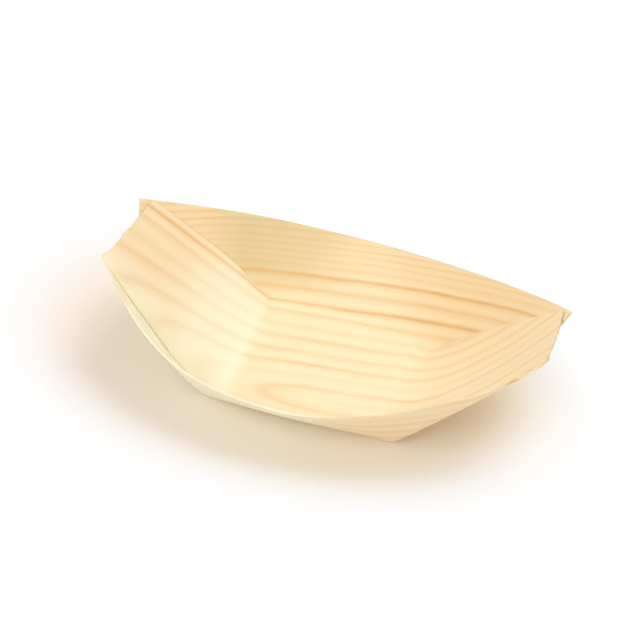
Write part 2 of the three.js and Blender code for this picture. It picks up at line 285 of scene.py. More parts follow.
def grain_and_painted_light_group():
    """Colour, roughness and height of sliced pine at a place on the flat sheet, with painted shade and a
    painted highlight mixed into the colour.
    """
    inputs = {"Sheet": "Vector", "Early Wood": "Color", "Late Wood": "Color", "Warm Tone And Shade": "Color",
              "Painted Highlight": "Color", "Shade Patch": "Color"}
    outputs = {"Color": "Color", "Roughness": "Float", "Height": "Float"}
    tree, given, made = new_group("veneer_grain_and_painted_light", "ShaderNodeTree", inputs, outputs)
    sheet = vectors(tree, "SCALE", given["Sheet"], MILLIMETRES_IN_METRE)
    sheet = place(tree, "ShaderNodeSeparateXYZ", {"Vector": sheet}).outputs
    along, across = sheet["X"], sheet["Y"]
    fibre = fibre_line(tree, along, across)
    late = late_share(tree, along, ring_radius(tree, along, across, fibre))
    streak = stretched_noise(tree, along, fibre, *STREAKS)
    fine = stretched_noise(tree, along, fibre, *FINE_FIBRES)
    duct = ranged(tree, stretched_noise(tree, along, fibre, *RESIN_DUCTS), *DUCT_RANGE, 0.0, 1.0)
    for mark, share in ((streak, STREAK_SHARE), (fine, FINE_SHARE), (duct, DUCT_SHARE)):
        late = maths(tree, "MULTIPLY_ADD", mark, share, late)
    late = limited(tree, late, 0.0, 1.0)
    # Painted highlight, under which the rings fade
    painted_highlight = painted_highlight_share(tree, along, across)
    late = maths(tree, "MULTIPLY", late, maths(tree, "MULTIPLY_ADD", painted_highlight, -RINGS_LOST_IN_HIGHLIGHT, 1.0))

    # Warm tone in random clouds, and painted shade towards the ends and the far rim
    colour = mixed(tree, warm_tone_and_shade_share(tree, along, across), given["Early Wood"], given["Warm Tone And Shade"])
    # Painted shade on a patch of the far wall
    colour = mixed(tree, shade_patch_share(tree, along, across), colour, given["Shade Patch"])
    # Painted highlight
    colour = mixed(tree, painted_highlight, colour, given["Painted Highlight"])
    colour = mixed(tree, late, colour, given["Late Wood"])
    rough = maths(tree, "MULTIPLY_ADD", late, -LATE_GLOSS, EARLY_ROUGHNESS)
    rough = maths(tree, "MULTIPLY_ADD", fine, FIBRE_ROUGHNESS, rough)
    height = maths(tree, "MULTIPLY_ADD", late, LATE_HEIGHT, maths(tree, "MULTIPLY", fine, FIBRE_HEIGHT))
    height = maths(tree, "MULTIPLY_ADD", duct, -DUCT_DEPTH, height)
    tree.links.new(colour, made.inputs["Color"])
    tree.links.new(rough, made.inputs["Roughness"])
    tree.links.new(height, made.inputs["Height"])
    return tree


veneer_grain_and_painted_light = grain_and_painted_light_group()


def new_material(name):
    """A new material, its nodes and its shader."""
    material = bpy.data.materials.new(name)
    material.use_nodes = True
    return material, material.node_tree, material.node_tree.nodes["Principled BSDF"]


def pine_material(name, early, late, warm_and_shade, bump):
    material, tree, shader = new_material(name)
    sheet = place(tree, "ShaderNodeUVMap", uv_map="sheet").outputs["UV"]
    # The grain mixes painted shade and a painted highlight into the wood's colour
    grain = place(tree, "ShaderNodeGroup", {
        "Sheet": sheet, "Early Wood": early, "Late Wood": late, "Warm Tone And Shade": warm_and_shade,
        "Painted Highlight": PAINTED_HIGHLIGHT_COLOUR, "Shade Patch": SHADE_PATCH_COLOUR}, node_tree=veneer_grain_and_painted_light).outputs
    relief = place(tree, "ShaderNodeBump", {
        "Height": grain["Height"], "Strength": bump, "Distance": GRAIN_RELIEF})
    tree.links.new(grain["Color"], shader.inputs["Base Color"])
    tree.links.new(grain["Roughness"], shader.inputs["Roughness"])
    tree.links.new(relief.outputs["Normal"], shader.inputs["Normal"])
    return material


pine_face = pine_material("pine_face", EARLY_WOOD, LATE_WOOD, WARM_TONE_AND_SHADE, FACE_BUMP)
pine_cut = pine_material("pine_cut", CUT_EARLY_WOOD, CUT_LATE_WOOD, CUT_WARM_TONE_AND_SHADE, CUT_BUMP)


def unit(lines):
    return lines / np.linalg.norm(lines, axis=-1, keepdims=True)


def veneer_shell(name, middle, sheet, free, thickness=VENEER):
    """Closed piece of veneer around a grid of points half way through it. Its cut borders, low,
    high, start or stop, are rounded, and the others are square, to lie against a neighbour."""
    height, width = middle.shape[:2]
    along = np.gradient(middle, axis=1, edge_order=2)
    up = np.gradient(middle, axis=0, edge_order=2)
    normal = np.cross(along, up)
    # A first row that lies level, on the floor, keeps the floor's normal
    if np.ptp(middle[0, :, 2]) < EDGE_ROUND:
        normal[0] = (0, 0, np.sign(normal[1, width // 2, 2]))
    normal = unit(normal)
    outward = np.zeros_like(middle)
    borders = {"low": (np.s_[0, :], -up), "high": (np.s_[-1, :], up),
               "start": (np.s_[:, 0], -along), "stop": (np.s_[:, -1], along)}
    for border in free:
        line, direction = borders[border]
        outward[line] += unit(direction[line])
    rows, columns = np.indices((height, width))
    loop = np.concatenate([[rows[line], columns[line]] for line in (
        np.s_[0, :-1], np.s_[:-1, -1], np.s_[-1, :0:-1], np.s_[:0:-1, 0])], axis=1)
    edge = tuple(loop)
    half, soft = thickness / 2, EDGE_ROUND * (1 - math.sqrt(0.5))
    turns = [(EDGE_ROUND, half), (soft, half - soft), (0, half - EDGE_ROUND)]
    turns += [(drawn, -lift) for drawn, lift in reversed(turns)]
    rings = [middle[edge] - outward[edge] * drawn + normal[edge] * lift for drawn, lift in turns]
    top, bottom = middle + normal * half, middle - normal * half
    top[edge], bottom[edge] = rings[0], rings[-1]
    points = np.concatenate([top.reshape(-1, 3), bottom.reshape(-1, 3), *rings[1:-1]])
    index = np.arange(height * width).reshape(height, width)
    count = loop.shape[1]
    ring_index = [index[edge]]
    ring_index += [2 * height * width + k * count + np.arange(count) for k in range(len(turns) - 2)]
    ring_index += [height * width + index[edge]]
    quads = np.stack([index[:-1, :-1], index[:-1, 1:], index[1:, 1:], index[1:, :-1]], axis=-1)
    quads = quads.reshape(-1, 4)
    faces = [quads, height * width + quads[:, ::-1]]
    for upper, lower in zip(ring_index, ring_index[1:]):
        faces.append(np.stack([np.roll(upper, -1), upper, lower, np.roll(lower, -1)], axis=-1))
    faces = np.concatenate(faces)
    a, b, c, d = (points[faces[:, k]] for k in range(4))
    if np.einsum("ij,ij->", a, np.cross(b, c) + np.cross(c, d)) < 0:
        faces = faces[:, ::-1]
    mesh = bpy.data.meshes.new(name)
    mesh.from_pydata(points.tolist(), [], faces.tolist())
    flat = sheet.reshape(-1, 2)
    places = np.concatenate([flat, flat] + [sheet[edge]] * (len(turns) - 2))
    mesh.uv_layers.new(name="sheet").uv.foreach_set("vector", places[faces.ravel()].ravel())
    mesh.materials.append(pine_face)
    mesh.materials.append(pine_cut)
    cut = np.arange(len(faces)) >= 2 * len(quads)
    mesh.polygons.foreach_set("material_index", cut.astype(np.int32))
    mesh.shade_smooth()
    mesh.set_sharp_from_angle(angle=SHARP_EDGE)
    return mesh


def new_object(name, data):
    """A new object in the scene."""
    made = bpy.data.objects.new(name, data)
    bpy.context.scene.collection.objects.link(made)
    return made


def add_piece(name, mesh):
    """Puts a finished piece in the scene, in place of the solid that has the same name."""
    piece = new_object("finished_" + name, mesh)
    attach(piece, "root")
    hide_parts(name)


def foot_line(end, across):
    """Line on the floor where an end panel begins to rise, drawn in at the middle."""
    drawn_in = CORNER_BEND + (END_BEND - CORNER_BEND) * (1 - across**2)
    (near_x, near_y), (far_x, far_y) = (CORNERS[end, side] for side in SIDE)
    crease = CREASE_X[end] + across * (far_x - near_x) / 2
    crease = crease + across**2 * ((far_x + near_x) / 2 - CREASE_X[end])
    x = SIGN[end] * (crease - drawn_in)
    y = across * ((far_y + near_y) / 2 - SIDE_BEND) + across**2 * (far_y - near_y) / 2
    return np.stack([x, y, np.full_like(x, FLOOR_LEVEL)], axis=-1)


floor_across = np.linspace(-1, 1, FLOOR_ROWS)[:, None]
floor_share = np.linspace(0, 1, FLOOR_COLUMNS)[None, :, None]
left_line, right_line = (foot_line(end, floor_across) for end in SIGN)
floor_grid = left_line + (right_line - left_line) * floor_share
floor_mesh = veneer_shell("floor", floor_grid, floor_grid[..., :2], free=())
add_piece("floor_panel", floor_mesh)

# Side walls
# The two long sides of the sheet, bent up along a crease. Each is a fan of ribs that stand square
# to the crease at the waist and spread from the floor corners to the ears at both ends.
EAR_TIP_X = 0.070
TIP_HALF_WIDTH = {"left": 0.0138, "right": 0.0106}
TIP_HEIGHT = {"left": 0.0361, "right": 0.0388}
WAIST = (-0.003, 0.040, 0.0185)
SHOULDER_X = {"left": 0.0427, "right": 0.0468}
SHOULDER_WEIGHT = {"left": 1.46, "right": 0.53}
EAR_LENGTH = {("left", "far"): 0.0013, ("left", "near"): 0.0006,
              ("right", "far"): 0.0015, ("right", "near"): 0.0003}
BEND_WEIGHT = 1.0
MITRE_WEIGHT = 0.15
STRAIGHT_END = 0.4
FAN_POWER = 2 * EAR_TIP_X / (CREASE_X["left"] + CREASE_X["right"])
SHEET_HALF_WIDTH = 0.047
FAN_SLANT = 3.0
RIM_POINTS = 400
WALL_COLUMNS = 161
WALL_ROWS = 41


def between(tree, first, second, share):
    inputs = {"Factor": share, 4: first, 5: second}
    return place(tree, "ShaderNodeMix", inputs, data_type="VECTOR").outputs[1]


def conic_group():
    """A bend that leaves Start towards Lean and comes into End from Lean."""
    inputs = {"Start": "Vector", "Lean": "Vector", "End": "Vector", "Weight": "Float", "Share": "Float"}
    tree, given, made = new_group("conic_bend", "GeometryNodeTree", inputs, {"Point": "Vector"})
    share = given["Share"]
    rest = maths(tree, "SUBTRACT", 1.0, share)
    first = maths(tree, "MULTIPLY", rest, rest)
    second = maths(tree, "MULTIPLY", maths(tree, "MULTIPLY", rest, share),
                   maths(tree, "MULTIPLY", given["Weight"], 2.0))
    third = maths(tree, "MULTIPLY", share, share)
    total = maths(tree, "ADD", maths(tree, "ADD", first, second), third)
    point = vectors(tree, "ADD", vectors(tree, "SCALE", given["Start"], first),
                    vectors(tree, "SCALE", given["Lean"], second))
    point = vectors(tree, "ADD", point, vectors(tree, "SCALE", given["End"], third))
    point = vectors(tree, "SCALE", point, maths(tree, "DIVIDE", 1.0, total))
    tree.links.new(point, made.inputs["Point"])
    return tree


def wall_group():
    """The middle surface of a wall from Start to Stop along its rim, with its place on the sheet."""
    inputs = {"Left Tip": "Vector", "Left Shoulder": "Vector", "Waist": "Vector",
              "Right Shoulder": "Vector", "Right Tip": "Vector", "Left Shoulder Weight": "Float",
              "Right Shoulder Weight": "Float", "Left Foot": "Vector", "Right Foot": "Vector",
              "Left Lean": "Vector", "Right Lean": "Vector", "Bend Weight": "Float",
              "Mitre Weight": "Float", "Straight End": "Float", "Fan Power": "Float",
              "Ear Reach": "Float", "Sheet Half Width": "Float", "Fan Slant": "Float",
              "Start": "Float", "Stop": "Float", "Rim Points": "Int", "Columns": "Int",
              "Rows": "Int", "Material": "Material"}
    tree, given, made = new_group("side_wall", "GeometryNodeTree", inputs, {"Wall": "Geometry"})
    conic = conic_group()

    def bend(start, lean, end, weight, share):
        values = {"Start": start, "Lean": lean, "End": end, "Weight": weight, "Share": share}
        return place(tree, "GeometryNodeGroup", values, node_tree=conic).outputs["Point"]

    # The rim, from the left ear tip over the waist to the right ear tip
    line = place(tree, "GeometryNodeCurvePrimitiveLine").outputs["Curve"]
    line = place(tree, "GeometryNodeResampleCurve", {"Curve": line, "Count": given["Rim Points"]})
    factor = tree.nodes.new("GeometryNodeSplineParameter").outputs["Factor"]
    doubled = maths(tree, "MULTIPLY", factor, 2.0)
    left = bend(given["Left Tip"], given["Left Shoulder"], given["Waist"],
                given["Left Shoulder Weight"], maths(tree, "MINIMUM", doubled, 1.0))
    right = bend(given["Waist"], given["Right Shoulder"], given["Right Tip"],
                 given["Right Shoulder Weight"],
                 maths(tree, "MAXIMUM", maths(tree, "SUBTRACT", doubled, 1.0), 0.0))
    over_waist = maths(tree, "GREATER_THAN", factor, 0.5)
    rim = place(tree, "GeometryNodeSetPosition", {
        "Geometry": line.outputs["Curve"], "Position": between(tree, left, right, over_waist)})

    # One rib for each column of a grid
    grid = place(tree, "GeometryNodeMeshGrid", {
        "Size X": 1.0, "Size Y": 1.0, "Vertices X": given["Columns"], "Vertices Y": given["Rows"]})
    spot = tree.nodes.new("GeometryNodeInputPosition").outputs["Position"]
    spot = place(tree, "ShaderNodeSeparateXYZ", {"Vector": spot}).outputs
    along = maths(tree, "ADD", spot["X"], 0.5)
    stretch = maths(tree, "SUBTRACT", given["Stop"], given["Start"])
    distance = maths(tree, "MULTIPLY_ADD", along, stretch, given["Start"])
    top = place(tree, "GeometryNodeSampleCurve", {
        "Curves": rim.outputs["Geometry"], "Length": distance}, mode="LENGTH").outputs["Position"]
    top_x = place(tree, "ShaderNodeSeparateXYZ", {"Vector": top}).outputs["X"]
    outward = maths(tree, "DIVIDE", maths(tree, "ABSOLUTE", top_x), given["Ear Reach"])
    closing = maths(tree, "SUBTRACT", 1.0, maths(tree, "MINIMUM", outward, 1.0))
    spread = maths(tree, "SUBTRACT", 1.0, maths(tree, "POWER", closing, given["Fan Power"]))
    fan = maths(tree, "MULTIPLY", maths(tree, "SIGN", top_x), spread)
    share = maths(tree, "MULTIPLY_ADD", fan, 0.5, 0.5)
    foot = between(tree, given["Left Foot"], given["Right Foot"], share)
    lean = between(tree, given["Left Lean"], given["Right Lean"], share)
    weight = ranged(tree, closing, 0.0, given["Straight End"], given["Mitre Weight"], given["Bend Weight"])
    point = bend(foot, lean, top, weight, maths(tree, "ADD", spot["Y"], 0.5))
    kept = tree.nodes.new("GeometryNodeCaptureAttribute")
    kept.capture_items.new("VECTOR", "Foot")
    kept.capture_items.new("FLOAT", "Lean")
    tree.links.new(grid.outputs["Mesh"], kept.inputs["Geometry"])
    tree.links.new(foot, kept.inputs["Foot"])
    leaning = maths(tree, "DIVIDE", top_x, given["Ear Reach"])
    leaning = limited(tree, maths(tree, "MULTIPLY", leaning, given["Fan Slant"]), -1.0, 1.0)
    tree.links.new(leaning, kept.inputs["Lean"])
    ribs = place(tree, "GeometryNodeSetPosition", {
        "Geometry": kept.outputs["Geometry"], "Position": point}).outputs["Geometry"]

    # The place of each point on the flat sheet, where a rib is a straight line from its foot
    index = tree.nodes.new("GeometryNodeInputIndex").outputs["Index"]
    column = maths(tree, "FLOOR", maths(tree, "DIVIDE", index, given["Rows"]))
    row = maths(tree, "SUBTRACT", index, maths(tree, "MULTIPLY", column, given["Rows"]))
    here = tree.nodes.new("GeometryNodeInputPosition").outputs["Position"]
    before = place(tree, "GeometryNodeFieldAtIndex", {
        "Index": maths(tree, "SUBTRACT", index, 1.0), "Value": here}, data_type="FLOAT_VECTOR")
    step = vectors(tree, "DISTANCE", here, before.outputs["Value"])
    step = maths(tree, "MULTIPLY", step, maths(tree, "GREATER_THAN", row, 0.5))
    height = place(tree, "GeometryNodeAccumulateField", {"Value": step, "Group ID": column})
    foot_at = place(tree, "ShaderNodeSeparateXYZ", {"Vector": kept.outputs["Foot"]}).outputs
    half_floor = maths(tree, "ABSOLUTE", foot_at["Y"])
    flap = maths(tree, "SUBTRACT", given["Sheet Half Width"], half_floor)
    upright = maths(tree, "MINIMUM", maths(tree, "DIVIDE", flap, height.outputs["Total"]), 1.0)
    slant = maths(tree, "SQRT", maths(tree, "SUBTRACT", 1.0, maths(tree, "MULTIPLY", upright, upright)))
    slant = maths(tree, "MULTIPLY", slant, kept.outputs["Lean"])
    sheet_x = maths(tree, "MULTIPLY_ADD", height.outputs["Leading"], slant, foot_at["X"])
    sheet_y = maths(tree, "MULTIPLY_ADD", height.outputs["Leading"], upright, half_floor)
    sheet_y = maths(tree, "MULTIPLY", sheet_y, maths(tree, "SIGN", foot_at["Y"]))
    sheet = place(tree, "ShaderNodeCombineXYZ", {"X": sheet_x, "Y": sheet_y}).outputs["Vector"]
    stored = place(tree, "GeometryNodeStoreNamedAttribute", {
        "Geometry": ribs, "Name": "sheet", "Value": sheet}, data_type="FLOAT_VECTOR", domain="POINT")
    whole = place(tree, "GeometryNodeRealizeInstances", {"Geometry": stored.outputs["Geometry"]})
    finished = place(tree, "GeometryNodeSetMaterial", {
        "Geometry": whole.outputs["Geometry"], "Material": given["Material"]})
    tree.links.new(finished.outputs["Geometry"], made.inputs["Wall"])
    return tree


def corner_point(end, side, inset_x=0.0, inset_y=0.0):
    """Where two creases cross on the floor, or a point that far inside it."""
    x, y = CORNERS[end, side]
    return np.array([SIGN[end] * (x - inset_x), SIDE[side] * (y - inset_y), FLOOR_LEVEL])


def rim_points(side):
    """Names and places of the points that set the rim of one wall."""
    toward = SIDE[side]
    points = {"Waist": (WAIST[0], toward * WAIST[1], WAIST[2])}
    for end, sign in SIGN.items():
        points[f"{end.title()} Tip"] = (sign * EAR_TIP_X, toward * TIP_HALF_WIDTH[end], TIP_HEIGHT[end])
        points[f"{end.title()} Shoulder"] = (sign * SHOULDER_X[end], toward * WAIST[1], WAIST[2])
    return {name: np.array(point) for name, point in points.items()}


def evaluate(tree, values, mesh=None):
    """The plain mesh that a geometry tree makes with these values of its named inputs."""
    mesh = mesh or bpy.data.meshes.new(tree.name)
    maker = new_object(tree.name, mesh)
    modifier = maker.modifiers.new(tree.name, "NODES")
    modifier.node_group = tree
    for item in tree.interface.items_tree:
        if item.in_out == "INPUT" and item.name in values:
            value = values[item.name]
            modifier[item.identifier] = value.tolist() if isinstance(value, np.ndarray) else value
    made = bpy.data.meshes.new_from_object(maker.evaluated_get(bpy.context.evaluated_depsgraph_get()))
    bpy.data.objects.remove(maker)
    return made


wall_tree = wall_group()


def wall_stretch(side, start, stop, columns, rows=WALL_ROWS):
    """Middle points of a wall and their places on the sheet, with ribs as columns."""
    values = rim_points(side)
    for end in SIGN:
        title = end.title()
        values[f"{title} Foot"] = corner_point(end, side, CORNER_BEND, SIDE_BEND)
        values[f"{title} Lean"] = corner_point(end, side)
        values[f"{title} Shoulder Weight"] = SHOULDER_WEIGHT[end]
    values |= {"Bend Weight": BEND_WEIGHT, "Mitre Weight": MITRE_WEIGHT,
               "Straight End": STRAIGHT_END, "Fan Power": FAN_POWER, "Ear Reach": EAR_TIP_X,
               "Sheet Half Width": SHEET_HALF_WIDTH, "Fan Slant": FAN_SLANT, "Start": start,
               "Stop": stop, "Rim Points": RIM_POINTS, "Columns": columns, "Rows": rows,
               "Material": pine_face}
    mesh = evaluate(wall_tree, values)
    points = np.empty(3 * len(mesh.vertices), np.float32)
    places = np.empty_like(points)
    mesh.vertices.foreach_get("co", points)
    mesh.attributes["sheet"].data.foreach_get("vector", places)
    bpy.data.meshes.remove(mesh)
    shape = (columns, rows, 3)
    points = points.reshape(shape).swapaxes(0, 1).astype(float)
    return points, places.reshape(shape).swapaxes(0, 1)[..., :2].astype(float)


def conic(start, lean, end, weight, share):
    """A bend that leaves start towards lean and comes into end from lean."""
    share = np.asarray(share)[..., None]
    parts = (1 - share) ** 2, 2 * weight * share * (1 - share), share**2
    return (parts[0] * start + parts[1] * lean + parts[2] * end) / sum(parts)


def lengths(points):
    """Distance along a line of points, from 0 at its start."""
    steps = np.linalg.norm(np.diff(points, axis=0), axis=-1)
    return np.concatenate([np.zeros_like(steps[:1]), np.cumsum(steps, axis=0)])


def rim_length():
    at = rim_points("far")
    share = np.linspace(0, 1, RIM_POINTS // 2)
    left = conic(at["Left Tip"], at["Left Shoulder"], at["Waist"], SHOULDER_WEIGHT["left"], share)
    right = conic(at["Waist"], at["Right Shoulder"], at["Right Tip"], SHOULDER_WEIGHT["right"], share)
    return lengths(np.concatenate([left, right]))[-1]


RIM_LENGTH = rim_length()
for side in SIDE:
    ends = EAR_LENGTH["left", side], RIM_LENGTH - EAR_LENGTH["right", side]
    ribs, places = wall_stretch(side, *ends, WALL_COLUMNS)
    wall_mesh = veneer_shell(f"{side}_wall", ribs, places, free=("high",))
    add_piece(f"{side}_side_wall", wall_mesh)

# End panels
# The two ends of the sheet, bent up in a long soft curve. Their long edges are folded back under
# themselves along the mitres, and their tops are the sheet's sawn ends, across the grain.
MITRE_TRIM = {("left", "far"): 0.0022, ("left", "near"): 0.0002,
              ("right", "far"): 0.0020, ("right", "near"): 0.0}
END_LEAN = 0.003
END_WEIGHT = 1.0
PLEAT_START = 0.3
GLUE_FILM = 0.00012
GLUE_SEAT = 0.000005
LEAF_GAP = 0.00003
INNER_LEAF_OFFSET = VENEER + GLUE_FILM + 2 * GLUE_SEAT
OUTER_LEAF_OFFSET = INNER_LEAF_OFFSET + VENEER + LEAF_GAP
# How far each pleat stands open, as a share of what its layers add up to
PLEAT_OPENING = {("left", "far"): 0.9, ("left", "near"): 1.15,
                 ("right", "far"): 0.5, ("right", "near"): 0.3}
CREST = {("left", "far"): 0.0001}
CREST_START = 0.6
CREST_WIDTH = 0.0028
RIM_BOW = {"left": 0.0, "right": 0.0006}
RIM_BOW_POWER = 4
SAW_DEPTH = 0.00012
SAW_TEETH = 24
SAW_FINENESS = 0.5
SAW_SEED = {"left": 3, "right": 8}
NOTCHES = {"left": (0.06, 0.0005, 0.03), "right": (-0.35, 0.0003, 0.03)}
END_ROWS = 81
END_COLUMNS = 161
PROFILE_POINTS = 400
ROLL_STEPS = 10
LEAST_LEAN = 0.5
NUDGE = 0.0002


def smooth(share):
    share = np.clip(share, 0, 1)
    return share * share * (3 - 2 * share)


def mitre_edge(end, side, rise):
    """Edge of an end panel, in front of the last rib of a wall by the thickness of the pleat, with
    the wall's inward normals and the distance to it."""
    ear = EAR_LENGTH[end, side]
    tip = ear if end == "left" else RIM_LENGTH - ear
    ribs, places = wall_stretch(side, tip - NUDGE, tip + NUDGE, 3)
    inward = unit(np.cross(ribs[:, 2] - ribs[:, 0], np.gradient(ribs[:, 1], axis=0)))
    inward *= np.sign(inward[len(inward) // 2, 2])
    inward[0] = (0, 0, 1)
    height = lengths(ribs[:, 1])
    up = rise * (height[-1] - MITRE_TRIM[end, side])
    rib, inward = (np.stack([np.interp(up, height, line[:, k]) for k in range(3)], axis=-1)
                   for line in (ribs[:, 1], inward))
    inward = unit(inward)
    offset = OUTER_LEAF_OFFSET * PLEAT_OPENING[end, side] * smooth(rise / PLEAT_START)
    return rib + inward * offset[:, None], inward, offset


def saw_line(end, across):
    """How far the sawn end stands proud or short at each place across it."""
    random = np.random.default_rng(SAW_SEED[end])
    coarse = np.interp(across, np.linspace(-1, 1, SAW_TEETH), random.normal(0, 1, SAW_TEETH))
    fine = random.normal(0, SAW_FINENESS, len(across))
    place_across, depth, width = NOTCHES[end]
    notch = depth * np.exp(-((across - place_across) / width) ** 2)
    return SAW_DEPTH * (coarse + fine) - notch


class EndPanel:
    """Middle surface of an end panel, from -1 at the near edge to 1 at the far edge. Its back is the
    same surface before its edges are lifted by the roll of the pleat."""

    def __init__(self, end):
        self.end = end
        self.rise = np.linspace(0, 1, END_ROWS)
        self.across = np.linspace(-1, 1, END_COLUMNS)
        self.mitres = {side: mitre_edge(end, side, self.rise) for side in SIDE}
        near, far = (self.mitres[side][0][:, None] for side in SIDE)
        share = (self.across[None, :, None] + 1) / 2
        ruled = near + (far - near) * share
        middle = ((near + far) / 2)[:, 0]
        sign = SIGN[end]
        foot = np.array([sign * (CREASE_X[end] - END_BEND), 0, FLOOR_LEVEL])
        lean = np.array([sign * (CREASE_X[end] + END_LEAN), 0, FLOOR_LEVEL])
        profile = conic(foot, lean, middle[-1], END_WEIGHT, np.linspace(0, 1, PROFILE_POINTS))
        height = lengths(profile)
        up = self.rise * height[-1]
        profile = np.stack([np.interp(up, height, profile[:, k]) for k in range(3)], axis=-1)
        crown = (1 - self.across**2)[None, :, None]
        self.back = ruled + crown * (profile - middle)[:, None]
        rising = np.gradient(self.back, axis=0, edge_order=2)
        inward = np.cross(np.gradient(self.back, axis=1, edge_order=2), rising)
        inward[0] = (0, 0, 1)
        self.inward = unit(inward)
        self.inward *= np.sign(self.inward[..., 2:3])
        reach = np.abs(self.back[:1, :, 0]) + lengths(self.back)
        self.sheet = np.stack([sign * reach, self.back[..., 1]], axis=-1)
        self.length = lengths(self.back[:, -1])[-1]
        self.half_width = np.linalg.norm(far - near, axis=-1)[:, 0] / 2
        self.points = self.back + self.inward * self.crests()[..., None]
        top = unit(rising[-1])
        self.points += RIM_BOW[end] * crown * self.rise[:, None, None] ** RIM_BOW_POWER * top
        self.points[-1] += top * saw_line(end, self.across)[:, None]

    def crests(self):
        """How far the roll of each pleat lifts the panel beside its mitre."""
        inset = (1 - np.abs(self.across)) * self.half_width[:, None]
        lift = np.zeros_like(inset)
        for side, toward in SIDE.items():
            crest = CREST.get((self.end, side), 0.0) * smooth(self.rise / CREST_START)[:, None]
            lift += crest * np.exp(-(inset / CREST_WIDTH) ** 2) * (self.across * toward > 0)
        return lift

    def at(self, grid, across, rise):
        """Values of a grid over the panel at any places, by rows and columns in between."""
        row = np.clip(rise, 0, 1) * (END_ROWS - 1)
        column = (np.clip(across, -1, 1) + 1) / 2 * (END_COLUMNS - 1)
        i = np.minimum(row.astype(int), END_ROWS - 2)
        j = np.minimum(column.astype(int), END_COLUMNS - 2)
        p, q = (row - i)[..., None], (column - j)[..., None]
        lower = grid[i, j] * (1 - q) + grid[i, j + 1] * q
        upper = grid[i + 1, j] * (1 - q) + grid[i + 1, j + 1] * q
        return lower * (1 - p) + upper * p

    def roll(self, side):
        """The fold along one mitre, from the edge of the panel out to the wall and back round to
        the inner leaf."""
        edge, inner = (-1, -2) if SIDE[side] > 0 else (0, 1)
        start, inward = self.points[:, edge], self.inward[:, edge]
        outward = unit(self.back[:, edge] - self.back[:, inner])
        wall_inward, offset = self.mitres[side][1:]
        crest = np.sum((start - self.back[:, edge]) * inward, axis=-1)
        behind = INNER_LEAF_OFFSET * PLEAT_OPENING[self.end, side]
        depth = (crest + behind * smooth(self.rise / PLEAT_START)) / 2
        lean = np.maximum(-np.sum(outward * wall_inward, axis=-1), LEAST_LEAN)
        reach = np.maximum((offset - VENEER / 2) / lean - VENEER / 2 - LEAF_GAP, depth)
        turn = np.linspace(0, math.pi, ROLL_STEPS + 1)[1:]
        round_out = (reach[:, None] * np.sin(turn))[..., None] * outward[:, None]
        round_back = (depth[:, None] * (1 - np.cos(turn)))[..., None] * inward[:, None]
        places = np.repeat(self.sheet[:, edge][:, None], ROLL_STEPS, axis=1)
        places[..., 1] += SIDE[side] * reach[:, None] * turn
        return start[:, None] + round_out - round_back, places

    def mesh(self):
        near, far = self.roll("near"), self.roll("far")
        points = np.concatenate([near[0][:, ::-1], self.points, far[0]], axis=1)
        sheet = np.concatenate([near[1][:, ::-1], self.sheet, far[1]], axis=1)
        return veneer_shell(f"{self.end}_end", points, sheet, free=("high",))


end_panels = {end: EndPanel(end) for end in SIGN}
for end, panel in end_panels.items():
    add_piece(f"{end}_end_panel", panel.mesh())

# Fibres
# The saw leaves a fringe of short torn fibres along the cut ends of the sheet. Each is a slender
# cone of the same pine, rooted in the cut and pointing about along the grain.
FIBRES = 64
FIBRE_LENGTH = 0.0009
FIBRE_THICKNESS = 0.00008
SHORTEST_FIBRE = 0.35
THINNEST_FIBRE = 0.5
FIBRE_SIDES = 5
FIBRE_SEGMENTS = 2
FIBRE_ROOT = 0.00015
FIBRE_SPREAD = 0.35
FIBRE_SHARE = 0.7
FIBRE_SEED = {"left": 5, "right": 11}


